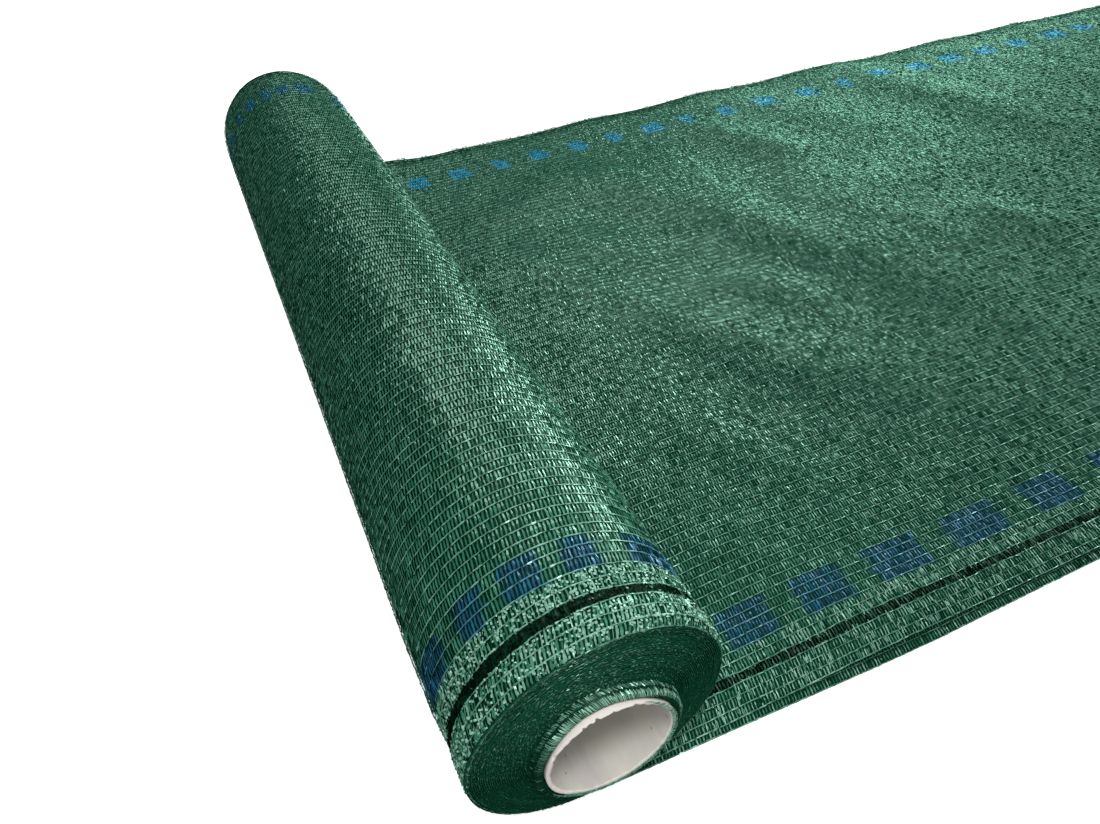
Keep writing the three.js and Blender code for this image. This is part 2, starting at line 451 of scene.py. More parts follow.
def tape_finish():
    """The flat tapes that are laid across the net."""
    finish = Finish("green_tape")
    blue, black, tone = finish.split(finish.attribute("dye_and_painted_light"))
    cloth = finish.attribute("cloth")
    along_tape = finish.add("ShaderNodeVectorMath", {"operation": "MULTIPLY"}, {0: cloth, 1: streak_scale})
    streaks = finish.noise(along_tape, 1.0)
    patches = finish.noise(cloth, 9.0)
    warm = finish.noise(cloth, 120.0)
    lightness = (tone * 0.9 + streaks * 0.9 + patches * 0.3 - 0.58).clamped()
    cool_green = finish.mix(lightness, rgb(0.021, 0.148, 0.088), rgb(0.068, 0.280, 0.180))
    green = finish.mix(((warm - 0.6) * 5).clamped(), cool_green, rgb(0.052, 0.225, 0.088))
    blue_dye = finish.mix(((tone - 0.35) * 0.3).clamped(), rgb(0.018, 0.080, 0.165), rgb(0.015, 0.500, 0.820))
    marked = finish.mix(blue, green, blue_dye)
    # Painted highlight: tones over 1.2, given to the tapes and loops near the selvage, paint them pale mint.
    paled = finish.mix(((tone - 1.2) * 0.8 - blue * 9).clamped(), marked, rgb(0.340, 0.640, 0.500))
    # Black is the knitted black band, and in the last cells before the fold a painted shade.
    coloured = finish.mix(black, paled, rgb(0.001, 0.006, 0.003))
    sheen = finish.mix(blue, rgb(0.46, 0.77, 0.62), rgb(0.34, 0.62, 0.80))
    black_glint = finish.mix(tone > glossy_black_tone, rgb(0.03, 0.06, 0.045), rgb(0.24, 0.34, 0.29))
    glint = finish.mix(black, sheen, black_glint)
    bump = finish.add("ShaderNodeBump", None, {"Strength": 0.4, "Distance": 0.12 * MM, "Height": streaks})
    matt = finish.shader(Base_Color=coloured, Roughness=0.6, Specular_IOR_Level=0.0, Normal=bump)
    gloss = finish.shader(
        Base_Color=glint, Metallic=1.0, Roughness=0.16 + 0.16 * streaks, Specular_Tint=gloss_edge, Normal=bump
    )
    return finish.done(finish.shine(0.19, matt, gloss))


def stitch_finish():
    """The chains of stitches, and the loops and threads at the edges."""
    finish = Finish("green_stitch")
    blue, black, tone = finish.split(finish.attribute("dye_and_painted_light"))
    green = finish.mix(tone, rgb(0.060, 0.230, 0.148), rgb(0.250, 0.530, 0.395))
    marked = finish.mix(blue, green, rgb(0.090, 0.270, 0.360))
    # Tones over 1 paint a thread pale: on the collar's top and outside the fold this is a painted highlight.
    paled = finish.mix(((tone - 1.0) * 0.5).clamped(), marked, rgb(0.420, 0.760, 0.580))
    # Black is the black of some loops, and on the collar's left side a painted shade.
    coloured = finish.mix(black, paled, rgb(0.004, 0.030, 0.016))
    matt = finish.shader(Base_Color=coloured, Roughness=0.6, Specular_IOR_Level=0.0)
    sheen = finish.mix(blue, rgb(0.48, 0.85, 0.68), rgb(0.42, 0.72, 0.86))
    glint = finish.mix(black, sheen, rgb(0.04, 0.09, 0.06))
    gloss = finish.shader(Base_Color=glint, Metallic=1.0, Roughness=0.3, Specular_Tint=gloss_edge)
    return finish.done(finish.shine(0.16, matt, gloss))


def ground_finish():
    """The knitting that shows through the gaps: the threads of the layers below, painted dark as their shade.
    """
    finish = Finish("green_ground")
    cloth = finish.attribute("cloth")
    threads = finish.noise(cloth, 520.0, 2.0)
    across = finish.split(cloth)[1]
    band = (across > ground_band[0]) * (across < ground_band[1])
    # Painted shade: these threads are a far darker green than the tapes, for the shade in the gaps.
    green = finish.mix(threads, rgb(0.001, 0.014, 0.007), rgb(0.009, 0.066, 0.036))
    coloured = finish.mix(band, green, rgb(0.0008, 0.005, 0.0025))
    matt = finish.shader(Base_Color=coloured, Roughness=0.6 + 0.2 * threads, Specular_IOR_Level=0.0)
    return finish.done(matt)


tape_material = tape_finish()
stitch_material = stitch_finish()
ground_material = ground_finish()
print("the net's materials:", [tape_material.name, stitch_material.name, ground_material.name])

# %% [markdown]
# ## The finishes of the roll's end
#
# The end of the roll shows the net edge on, as rings with dark gaps between them. The dark of the gaps is
# painted shade. A finish can't know where a ring is, so the mesh tells it: its vector of dye and painted
# light says how far each point stands out, and the finish paints the gaps dark. The cardboard works in the
# same way, with a vector that says how near the cut rim a point is, since board is paler where it is cut.
# Noise in four sizes gives the board its clouds, tints, fibres and flecks.


# %% The wound edges and the cardboard
def edge_finish():
    """The body of the roll. Its vector says how far each ring stands out, from 0 in a gap to 1 on a crest,
    and the gaps are painted dark as shade.
    """
    finish = Finish("wound_edges")
    cloth = finish.attribute("cloth")
    crest = finish.split(finish.attribute("dye_and_painted_light"))[0]
    fine = finish.noise(cloth, 900.0, 1.0)
    # Painted shade: the deeper a point lies in a gap between rings, the darker it is painted.
    shade = (crest * 0.9 + (fine - 0.5) * 1.4 - 0.1).clamped()
    green = finish.mix(shade, rgb(0.0005, 0.016, 0.008), rgb(0.008, 0.125, 0.064))
    matt = finish.shader(Base_Color=green, Roughness=0.6 + 0.2 * fine, Specular_IOR_Level=0.0)
    mint = rgb(0.48, 0.82, 0.68)
    gloss = finish.shader(Base_Color=mint, Metallic=1.0, Roughness=0.4, Specular_Tint=gloss_edge)
    return finish.done(finish.shine(0.02, matt, gloss))


def cardboard_finish():
    """Grey board, paler where it is cut at the rim. Its dye says how near the rim a place is."""
    finish = Finish("cardboard")
    place = finish.attribute("cloth")
    rim = finish.split(finish.attribute("dye_and_painted_light"))[0]
    cloud = finish.noise(place, 28.0, 3.0)
    fibre = finish.noise(place, 260.0, 2.0)
    fleck = finish.noise(place, 480.0, 0.0)
    tint = finish.noise(place, 45.0, 1.0)
    grey = finish.mix(((cloud - 0.5) * 3 + 0.5).clamped(), rgb(0.54, 0.50, 0.475), rgb(0.72, 0.70, 0.67))
    paper = finish.mix(((tint - 0.5) * 4 + 0.3).clamped(), grey, rgb(0.70, 0.70, 0.58))
    mottled = finish.mix((fibre * 0.5).clamped(), paper, rgb(0.82, 0.80, 0.76))
    flecked = finish.mix(fleck > 0.83, mottled, rgb(0.26, 0.23, 0.20))
    coloured = finish.mix(rim, flecked, rgb(0.93, 0.89, 0.82))
    matt = finish.shader(Base_Color=coloured, Roughness=0.8 + 0.12 * fibre, Specular_IOR_Level=0.15)
    return finish.done(matt)


edge_material = edge_finish()
cardboard_material = cardboard_finish()
print("the roll's end:", [edge_material.name, cardboard_material.name])

# %% [markdown]
# ## Meshes from arrays
#
# Over four hundred thousand faces are too many to make one by one. Numpy works out all corners of a piece at
# once, and foreach_set hands them to Blender. Each point also gets its cloth vector and its vector of dye
# and painted light, and each piece a flat map in cloth coordinates.
#
# Nearly all of the knitting is short flat strips: tapes, stitches and loops. So one function, ribbons, makes
# a piece from the arrays of its strips, and another one carries every strip to where the cloth lies.


# %% The mesh helpers
def grid_faces(rows, columns, wrap_rows=False, wrap_columns=False):
    """The quads of a grid of points that is stored row by row."""
    row = np.arange(rows if wrap_rows else rows - 1)
    column = np.arange(columns if wrap_columns else columns - 1)
    row, column = np.meshgrid(row, column, indexing="ij")
    next_row = (row + 1) % rows
    next_column = (column + 1) % columns
    corners = [row * columns + column, next_row * columns + column]
    corners += [next_row * columns + next_column, row * columns + next_column]
    return np.stack(corners, axis=-1).reshape(-1, 4)


def grid_map(u, v):
    """The map places of a grid's face corners, with a u for each column line and a v for each row line."""
    row, column = np.meshgrid(np.arange(len(v) - 1), np.arange(len(u) - 1), indexing="ij")
    corners = [(column, row), (column, row + 1), (column + 1, row + 1), (column + 1, row)]
    return np.stack([np.stack([u[c], v[r]], axis=-1) for c, r in corners], axis=-2).reshape(-1, 4, 2)


def piece(name, points, faces, material, cloth, dye_and_painted_light, flat, smooth=True):
    """A mesh piece from arrays. cloth and dye are vectors at its points, and flat its map, one place for
    each corner of each face."""
    points = np.asarray(points, np.float32).reshape(-1, 3)
    faces = np.asarray(faces, np.int32).reshape(-1, 4)
    mesh = bpy.data.meshes.new(name)
    mesh.vertices.add(len(points))
    mesh.vertices.foreach_set("co", points.ravel())
    mesh.loops.add(faces.size)
    mesh.loops.foreach_set("vertex_index", faces.ravel())
    mesh.polygons.add(len(faces))
    mesh.polygons.foreach_set("loop_start", np.arange(0, faces.size, 4, dtype=np.int32))
    mesh.polygons.foreach_set("use_smooth", np.full(len(faces), smooth))
    mesh.update(calc_edges=True)
    for label, vectors in (("cloth", cloth), ("dye_and_painted_light", dye_and_painted_light)):
        attribute = mesh.attributes.new(label, "FLOAT_VECTOR", "POINT")
        attribute.data.foreach_set("vector", np.asarray(vectors, np.float32).ravel())
    flat = flat.reshape(-1, 2)
    flat = (flat - flat.min(axis=0)) / np.ptp(flat, axis=0).max()
    layer = mesh.uv_layers.new(name="OFBake")
    layer.uv.foreach_set("vector", flat.astype(np.float32).ravel())
    mesh.materials.append(material)
    made = bpy.data.objects.new(name, mesh)
    bpy.context.collection.objects.link(made)
    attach(made, "root")
    print(f"{name}: {len(faces)} quads")
    return made


def dyes_and_painted_light(blue, black, tone):
    """The vectors of dye and painted light of a piece's strips, from arrays or single numbers."""
    return np.stack(np.broadcast_arrays(blue, black, tone), axis=-1)


def strips(s, w, lift, half, twist, dye_and_painted_light):
    """The arrays of a piece's strips, kept under their names."""
    return {"s": s, "w": w, "lift": lift, "half": half, "twist": twist, "dye_and_painted_light": dye_and_painted_light}


def ribbons(name, lie, runs, material):
    """A piece of many short flat strips. runs holds, for each strip and each section along it, its place
    on the flat net, its lift, half width and twist, and for each strip its dye. lie carries them to the
    cloth."""
    s, w, lift, half, twist = (runs[key] for key in ("s", "w", "lift", "half", "twist"))
    count, sections = s.shape
    run_s = s[:, -1:] - s[:, :1]
    run_w = w[:, -1:] - w[:, :1]
    run = np.hypot(run_s, run_w)
    places = []
    flats = []
    for side in (-1, 1):
        reach = side * half * np.cos(twist)
        rise = side * half * np.sin(twist)
        side_s = s - reach * run_w / run
        side_w = w + reach * run_s / run
        places.append(lie(side_s, side_w, lift + rise))
        flats.append(np.stack([s - side * half * run_w / run, w + side * half * run_s / run], axis=-1))
    points = np.stack(places, axis=2)
    flat = np.stack(flats, axis=2)
    first = np.arange(count)[:, None] * sections * 2 + np.arange(sections - 1)[None] * 2
    faces = np.stack([first, first + 2, first + 3, first + 1], axis=-1)
    cloth = np.concatenate([flat, np.zeros(flat.shape[:3] + (1,))], axis=-1)
    dye_and_painted_light = np.broadcast_to(runs["dye_and_painted_light"][:, None, None, :], points.shape)
    corner_flat = flat.reshape(-1, 2)[faces.reshape(-1, 4)]
    return piece(name, points, faces, material, cloth, dye_and_painted_light, corner_flat, smooth=False)


# %% [markdown]
# ## The cardboard tube
#
# The tube is wound from grey board, 3 mm thick. Its rim was cut roughly and has torn here and there, most at
# the upper left, where the net leaves a few millimetres of it bare. It is made as rings round the axis, and
# only the rings at the rim are pushed about, since a perfect edge there would look like plastic. A cylinder
# with a displacement would tear all of it, and not only the rim.

# %% The cardboard tube
tube_segments = 240
tube_wall = 3 * MM
tube_stretch = np.array([1, 0.35, 1])
bare_middle = math.radians(107)
bare_reach = math.radians(38)
bare_length = 3.4 * MM


def bareness(angle):
    """1 at the upper left of the tube's end, where the net leaves it bare, and 0 on the other sides."""
    return bell(np.mod(angle, 2 * math.pi) - bare_middle, bare_reach)


def soft_noise(angle, seed, waves):
    """A smooth closed wave round a ring, between about -1 and 1."""
    rng = np.random.default_rng(seed)
    total = np.zeros(np.shape(angle))
    for wave in waves:
        total += rng.uniform(0.4, 1) * np.sin(wave * angle + rng.uniform(0, 2 * math.pi))
    return total / len(waves)


def cardboard_tube():
    near = tube_low.y
    far = tube_high.y
    outer = tube_radius
    inner = outer - tube_wall
    angle = np.linspace(0, 2 * math.pi, tube_segments, endpoint=False)
    rng = np.random.default_rng(5)
    ragged = soft_noise(angle, 3, (5, 9, 14, 23, 37)) + rng.normal(0, 0.12, tube_segments)
    tear = np.clip(0.5 + 0.5 * bareness(angle) + ragged, 0, 1.6)
    fray = rng.normal(0, 0.15, tube_segments) + soft_noise(angle, 4, (9, 17, 31, 53))
    fray = fray * (0.3 + 2.4 * bareness(angle))
    # Each ring has its radius, its y, how much a tear adds to either, and how near the rim it is
    rings = [
        (inner, far - 0.001, 0, 0, 0),
        (inner, 0.25, 0, 0, 0),
        (inner, 0, 0, 0, 0),
        (inner, -0.25, 0, 0, 0),
        (inner, near + 0.06, 0, 0, 0),
        (inner, near + 0.02, 0, 0, 0),
        (inner, near + 0.006, 0, 0, 0),
        (inner, near + 0.0006, 0.0003, 0.0012, 0.1),
        (inner + 0.0001, near + 0.0003, 0.0004, 0.0008, 0.9),
        (inner + 0.0011, near + 0.0002, 0.0002, 0.0003, 1),
        (outer - 0.0009, near, 0, 0.0001, 1),
        (outer - 0.0002, near + 0.0003, 0, 0, 1),
        (outer, near + 0.0015, 0, 0, 1),
        (outer, near + 0.02, 0, 0, 1),
        (outer, 0, 0, 0, 0),
        (outer, far - 0.002, 0, 0, 0),
        (outer - 0.0003, far, 0, 0, 1),
        (inner + 0.0004, far, 0, 0, 1),
    ]
    rings = np.array(rings)[:, :, None]
    at_near_rim = (rings[:, 4] > 0.5) & (rings[:, 1] < 0)
    radius = rings[:, 0] + rings[:, 2] * tear
    y = rings[:, 1] + rings[:, 3] * tear + at_near_rim * np.clip(fray, 0, None) * MM
    points = np.stack([radius * np.cos(angle), y, axis_height + radius * np.sin(angle)], axis=-1)
    cloth = points * tube_stretch
    dye_and_painted_light = rings[:, 4, :, None] + 0 * points
    faces = grid_faces(len(rings), tube_segments, wrap_rows=True, wrap_columns=True)
    steps = np.hypot(np.diff(rings[:, 0, 0]), np.diff(rings[:, 1, 0]))
    along = np.concatenate([[0], np.cumsum(steps), [steps.sum() + tube_wall]])
    flat = grid_map(np.linspace(0, 2 * math.pi * outer, tube_segments + 1), along)
    name = "cardboard_tube_wound"
    return piece(name, points, faces, cardboard_material, cloth, dye_and_painted_light, flat)


tube_piece = cardboard_tube()
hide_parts("cardboard_tube")

# %% [markdown]
# ## The wound body
#
# Under the knitting lies the body of the roll: some 30 turns of doubled net. Its ends show the selvage of
# every turn as fine rings, none quite round and none level with the next. A real spiral would be one long
# strip with two seams. Rings look the same, close round the axis, and one profile makes them all: a crest and
# a valley for each turn, swept round, with each crest sliding in and out by its own noise. Near the outside
# two turns have parted a little, which shows as thin dark arcs. The face is not flat either: face_knots say,
# for some radii in millimetres, where it lies and how much it leans.

# %% The wound body
body_segments = 288
turn_pitch = 1.22
face_knots = {
    "r": [41.3, 44, 46.2, 47.4, 49, 55, 57, 66, 68, 77, 82.5],
    "y": [-519, -519, -517.4, -511, -507.6, -507.5, -508.5, -505.5, -506.5, -503.5, -503.6],
    "lean": [0, 0.5, 1, 1, 1, 1.5, 1.5, 2, 2, 2.5, 3],
}
turns = np.arange(83.2, 48, -turn_pitch)
turn_shift = np.random.default_rng(11).uniform(-0.35, 0.35, len(turns))
valley_depth = 1.3
turn_profile = [(0.45, valley_depth), (0.2, 0.25), (-0.15, 0.0), (-0.4, 0.5)]
parted_turns = (2, 5)
parting = {"depth": 3.0, "middle": math.radians(50), "reach": 0.7}
collar_profile = [(47.6, 0.3), (47.4, 0), (46.6, 0), (45.6, 0), (44.2, 0), (42.8, 0), (41.6, 1.5)]
collar_crest = 0.4
far_face = 503
far_turns = np.linspace(42.5, 79, 8)
far_profile = [(-0.5, 1.2), (0.3, 0.2), (3.4, 0.2)]
far_crests = [0, 1, 0.8]
# The outer turn under the knitting is painted dark, as the shade behind the tapes.
outer_crest = 0.2
body_depth = 0.7 * MM
print(len(turns), "turns show on the near end")


def turn_slide(number, angle):
    """How far the selvage of a turn stands in from the face, in millimetres."""
    return 0.55 * soft_noise(angle, 100 + number, (1, 2, 3, 5, 9)) + turn_shift[number]


def on_face(angle, r, back):
    """A place on the near end of the roll, at a radius and so many millimetres behind the face."""
    y = np.interp(r, face_knots["r"], face_knots["y"])
    lean = np.interp(r, face_knots["r"], face_knots["lean"])
    return on_roll(angle, y + back, r, lean, 0, 0)


def near_end(angle):
    """The rings of the near end, from the outside in, and how far each stands out."""
    rng = np.random.default_rng(12)
    face = []
    crest = []
    for number, r in enumerate(turns):
        stitches = rng.uniform(-0.22, 0.22, body_segments)
        parted = 0
        if number in parted_turns:
            parted = parting["depth"] * bell(angle - parting["middle"], parting["reach"])
        for shift, depth in turn_profile:
            sink = depth / valley_depth
            back = turn_slide(number, angle) + stitches * (1 - sink) + depth
            back = back + parted * (depth == valley_depth)
            face.append(on_face(angle, r + shift, back))
            crest.append(1 - sink)
    for r, back in collar_profile:
        wave = 0.25 * soft_noise(angle, int(r * 10), (3, 5, 8, 13))
        face.append(on_face(angle, r + wave, back + wave + bare_length / MM * bareness(angle)))
        crest.append(collar_crest)
    return face, crest


def far_end(angle):
    """The rings of the far end, from the inside out. It is plainer, since nobody sees it."""
    far = []
    for number, r in enumerate(far_turns):
        slide = 0.8 * soft_noise(angle, 300 + number, (1, 2, 3, 5))
        for shift, depth in far_profile:
            far.append(on_roll(angle, far_face + slide * (1 - depth) - depth, r + shift, 1, 0, 0))
    return far


def wound_body():
    angle = np.linspace(0, 2 * math.pi, body_segments, endpoint=False)
    face, crest = near_end(angle)
    outer_w = np.concatenate([[1.003, 0.995], np.linspace(0.985, 0.09, 44), np.linspace(0.08, 0.001, 16)])
    outer = outer_turn((-math.pi / 2 - angle[None]) * roll_radius, outer_w[:, None], -body_depth)
    far = far_end(angle)
    points = np.concatenate([far, outer, face])
    far_crest = np.tile(far_crests, len(far) // len(far_crests))
    crest = np.concatenate([far_crest, np.full(len(outer), outer_crest), crest])
    dye_and_painted_light = crest[:, None, None] + 0 * points
    faces = grid_faces(len(points), body_segments, wrap_columns=True)
    run = np.linalg.norm(np.diff(points[:, 0], axis=0), axis=-1)
    flat = grid_map(np.linspace(0, turn_length, body_segments + 1), np.concatenate([[0], np.cumsum(run)]))
    return piece("wound_body", points, faces, edge_material, points, dye_and_painted_light, flat)


wound_piece = wound_body()
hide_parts("wound_roll")

# %% [markdown]
# ## The loose sheet
#
# The loose end is one sheet, folded at the far edge. It is made as a closed skin, half a millimetre thick,
# that runs from the upper selvage over the fold and back to the lower selvage. A plane with a solidify
# modifier would do for the upper layer, but not for the fold. On the real net this is the mass of threads
# behind the tapes. Its dark green is painted shade, the shade those threads lie in, and the knitting is
# laid on it next.

# %% The loose sheet
sheet_half_thickness = 0.25 * MM
sheet_start = 2 * MM
fold_radius = (upper_level - lower_level) / 2
lowest = 0.05 * MM
least_fold_level = 0.6 * MM
upper_columns = 96
fold_columns = 7
lower_columns = 40
crowding = 1.5
cut_end_gap = 5 * MM


def sheet_side(stations, offset):
    """One side of the loose sheet, from the upper selvage over the fold to the lower selvage."""
    width = fold_edge - near_edge - fold_radius
    upper = upper_layer(stations[:, None], np.linspace(0, width, upper_columns)[None], offset)
    turn = np.linspace(math.pi / 2, -math.pi / 2, fold_columns + 2)[1:-1]
    middle_y = near_edge + width
    lift = ripple_height(stations, middle_y)[:, None]
    level = np.clip(roll_underside(stations) - squeeze_gap, least_fold_level, upper_level)[:, None]
    middle = (level + lower_level) / 2 + lift
    radius = (level - lower_level) / 2 + offset
    x = stations[:, None] + 0 * turn[None]
    y = middle_y + radius * np.cos(turn)[None]
    fold = np.stack([x, y, middle + radius * np.sin(turn)[None]], axis=-1)
    out = np.interp(stations, lower_wander["x"], lower_wander["out"])[:, None] * MM
    share = np.linspace(1, 0, lower_columns)[None] ** crowding
    lower = lower_layer(stations[:, None], (width + out) * share, -offset)
    side = np.concatenate([upper, fold, lower], axis=1)
    side[..., 2] = np.clip(side[..., 2], lowest, None)
    return side


def loose_sheet():
    stations = np.concatenate([np.linspace(sheet_start, 0.06, 10), np.linspace(0.07, loose_length, 150)])
    outer = sheet_side(stations, sheet_half_thickness)
    inner = sheet_side(stations, -sheet_half_thickness)[:, ::-1]
    points = np.concatenate([outer, inner], axis=1)
    rows, columns = points.shape[:2]
    sides = grid_faces(rows, columns, wrap_columns=True)
    half = columns // 2
    k = np.arange(half - 1)
    first_end = np.stack([k, k + 1, columns - 2 - k, columns - 1 - k], axis=-1)
    last_end = first_end[:, ::-1] + (rows - 1) * columns
    faces = np.concatenate([sides, first_end, last_end])
    one_side = points[:, :half]
    run = np.linalg.norm(np.diff(one_side, axis=1, prepend=one_side[:, :1]), axis=-1).cumsum(axis=1)
    across = np.concatenate([run, run[:, ::-1]], axis=1)
    cloth = np.stack([stations[:, None] + 0 * across, across, 0 * across], axis=-1)
    middle_run = run[rows // 2]
    round_trip = np.concatenate([middle_run, middle_run[-1] + MM + middle_run[-1] - middle_run[::-1]])
    round_trip = np.append(round_trip, round_trip[-1] + MM)
    end_flats = []
    for s in (stations[0] - cut_end_gap, stations[-1] + cut_end_gap):
        end_corners = [(k, s), (k + 1, s), (k + 1, s + MM), (k, s + MM)]
        corner_flats = [np.stack([middle_run[c], d + 0 * k], axis=-1) for c, d in end_corners]
        end_flats.append(np.stack(corner_flats, axis=1))
    flat = np.concatenate([grid_map(round_trip, stations)] + end_flats)
    return piece("loose_sheet", points, faces, ground_material, cloth, 0 * cloth, flat)


sheet_piece = loose_sheet()
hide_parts("loose_end")

# %% [markdown]
# ## Where the pattern lies
#
# The chains of stitches run along the net. They are 8.5 mm apart, but closer near the selvage. Between two
# of them is a cell. The fourth cell is knitted black, and the last two before the fold are dark. Two green
# cells further in than the black one lie the blue marks, and near the fold lies a second row of them. The
# marks are as uneven as on the real net, so a formula won't do: tables say where each one starts and how long
# it is, in millimetres. The ends of the marks were picked in the photo, and the camera above turned them
# into millimetres. Those that the photo doesn't show go on in the same way.
# The dark of the last two cells before the fold is painted shade, for the crease along it.

# %% The pattern
last_chain_gap = 4 * MM
selvage_chains = [0, 7, 14.5, 22, 30, 38, 45.5, 53.8, 62, 70, 78]
body_chains = selvage_chains[-1] + cell_width / MM * np.arange(1, 109)
chains = np.array(selvage_chains + list(body_chains)) * MM
chains = chains[chains < fold_edge - near_edge - last_chain_gap]
last_cell = len(chains) - 1
band_cell = 3


def chain_place(number, s):
    """Where a chain lies across the net, so far along it. The two beside the black band sway the most."""
    sway = 0.0
    for turns_in_a_metre in (3.1, 7.3, 17, 41):
        sway = sway + np.sin(2 * math.pi * turns_in_a_metre * s + 2.4 * number) / 3
    beside_band = (number == band_cell) | (number == band_cell + 1)
    return chains[number] + np.where(beside_band, 0.75, 0.2) * sway * MM


# The band cell is knitted black. The dark of the last two cells is painted shade along the fold.
black_band_and_fold_shade = {band_cell: 1.0, last_cell - 2: 0.4, last_cell - 1: 0.9}
far_marks_from = 897 * MM
first_far_mark = int(np.searchsorted(chains, far_marks_from))
far_mark_cells = (first_far_mark, first_far_mark + 4)
far_mark_shrink = 0.12

loose_near_marks = [(64, 38), (133, 42), (201, 45), (272, 49), (351, 53), (436, 46)]
loose_near_marks += [(436 + 79 * k + 5 * (k % 3), 42 + 4 * (k % 2)) for k in range(1, 16)]
loose_far_marks = [
    (72, 40), (140, 37), (203, 40), (275, 28), (333, 39), (402, 35), (468, 32), (532, 42), (603, 30),
    (675, 37), (745, 50), (833, 47), (920, 30), (990, 45), (1070, 56), (1148, 55), (1225, 60), (1312, 48),
    (1395, 62), (1480, 50), (1560, 56),
]
roll_near_marks = [(60, 34), (104, 30), (150, 38), (205, 22), (241, 23), (278, 20), (323, 48), (402, 40)]
roll_near_marks += [(470, 40)]
roll_far_marks = [(66, 22), (112, 44), (168, 12), (199, 11), (221, 12), (243, 14), (264, 16), (289, 20)]
roll_far_marks += [(335, 28), (390, 25), (440, 25), (500, 25)]
shrunk = 1 - 2 * far_mark_shrink
loose_far_marks = [(low + far_mark_shrink * long, long * shrunk) for low, long in loose_far_marks]
loose_marks = [(loose_near_marks, (6, 10)), (loose_far_marks, far_mark_cells)]
roll_marks = [(roll_near_marks, (6, 9)), (roll_far_marks, far_mark_cells)]
fade = 2.5 * MM
ragged = 1.6 * MM


def blueness(s, cell, marks, rng):
    """How blue each tape or stitch is, from 0 to 1. The ends of each mark are ragged, cell by cell."""
    found = np.zeros(s.shape)
    for rows, (first, last) in marks:
        for start, length in rows:
            for number in range(first, last):
                low = start * MM + rng.normal(0, ragged)
                high = (start + length) * MM + rng.normal(0, ragged)
                inside = smooth_step(low - fade, low + fade, s) * smooth_step(high + fade, high - fade, s)
                found = np.maximum(found, np.where(cell == number, inside, 0))
    return found


print(last_cell, "cells, far marks in cells", far_mark_cells)

# %% [markdown]
# ## The tapes
#
# A flat tape is laid to and fro between two chains. Every crossing slants the same way, is pinched where a
# stitch grips it and bulges in the middle, so a row of crossings leaves a row of small dark slits. An image
# of the weave would be flat, and its glints would not move with the light, so every crossing is real. No two
# lie alike: each is a strip of two quads with its own twist, width and bow. Near the selvage the tapes are
# laid steeper. A style holds what differs between the roll, the loose end and its lower selvage: the unrest
# of the tapes, how black the band is, what the far marks have in extra tone, and the higher tone near the
# selvage, which paints the tapes there pale as a highlight.

# %% The tapes
body_slant = 0.15
selvage_slant = 0.28
tape_share = np.array([0.03, 0.5, 0.97])
border_cells = 6
style_names = ("unrest", "black", "far_marks", "border_width", "border_unrest", "border_glint_tone", "spill")
loose_style = dict(zip(style_names, (1.15, 0.8, 4, 0.7, 1.3, 2.2, 2.0)))
roll_style = dict(zip(style_names, (0.6, 1.0, 0.8, 1.1, 1.4, 1.9, 1.0)))
lower_style = dict(zip(style_names, (1.3, 1.0, 0, 0.75, 1.4, 2.2, 1.0)))


def tape_runs(first_s, last_s, cells, marks, style, seed):
    """The crossings in some cells, from one place along the net to another."""
    rng = np.random.default_rng(seed)
    course = np.arange(math.ceil(first_s / course_pitch), math.floor(last_s / course_pitch))
    cell, course = (part.ravel() for part in np.meshgrid(np.arange(*cells), course, indexing="ij"))
    count = len(cell)
    left = chain_place(cell, course * course_pitch)
    right = chain_place(cell + 1, course * course_pitch)
    selvage = cell < band_cell
    middle_s = (course + 0.5) * course_pitch + np.where(selvage, (left + right) / 2 * selvage_slant, 0)
    alternate = np.where((cell + course) % 2 == 0, 0.25, -0.25) * MM
    lean = np.where(selvage, selvage_slant * (right - left), body_slant * (right - left) + alternate)
    s = middle_s[:, None] + lean[:, None] * (tape_share - 0.5) + rng.normal(0, 0.14 * MM, (count, 3))
    w = left[:, None] + (right - left)[:, None] * tape_share
    w[:, 0] += np.where(cell == 0, rng.uniform(-0.9, 0.3, count), 0) * MM
    w[:, 2] += np.where(cell == band_cell - 1, rng.uniform(-0.6, 1.2, count), 0) * style["spill"] * MM
    w[:, 0] -= np.where(cell == band_cell + 1, rng.uniform(-0.7, 1.7, count), 0) * style["spill"] * MM
    half = rng.normal(0.7, 0.12, count)[:, None] * np.array([0.62, 1, 0.62]) * MM
    half *= np.where(selvage, style["border_width"], 1)[:, None]
    turned = rng.normal(0, math.radians(11), (count, 1))
    wrung = rng.normal(0, math.radians(22), (count, 1)) * np.array([-1, 0, 1])
    blue = blueness(middle_s, cell, marks, rng)
    unrest = np.where(cell < border_cells, style["border_unrest"], np.maximum(style["unrest"], blue))[:, None]
    twist = unrest * (turned + wrung + rng.normal(0, math.radians(8), (count, 3)))
    lift = np.array([0.35, 0.6, 0.35]) * MM + rng.normal(0, 0.12 * MM, (count, 3))
    black = style["black"] * sum(value * (cell == number) for number, value in black_band_and_fold_shade.items())
    black = black * rng.uniform(style["black"] - 0.1, 1, count)
    tone = rng.uniform(0, 1, count)
    # Painted highlight: near the selvage the tones run higher, so many tapes there are painted pale.
    tone = np.where(cell < border_cells, tone**1.5 * style["border_glint_tone"] + 0.2, tone)
    tone = np.where((blue > 0.5) & (cell > last_cell / 2), tone + style["far_marks"], tone)
    dye_and_painted_light = dyes_and_painted_light(blue, black, tone)
    return strips(s, w, lift, half, twist, dye_and_painted_light)


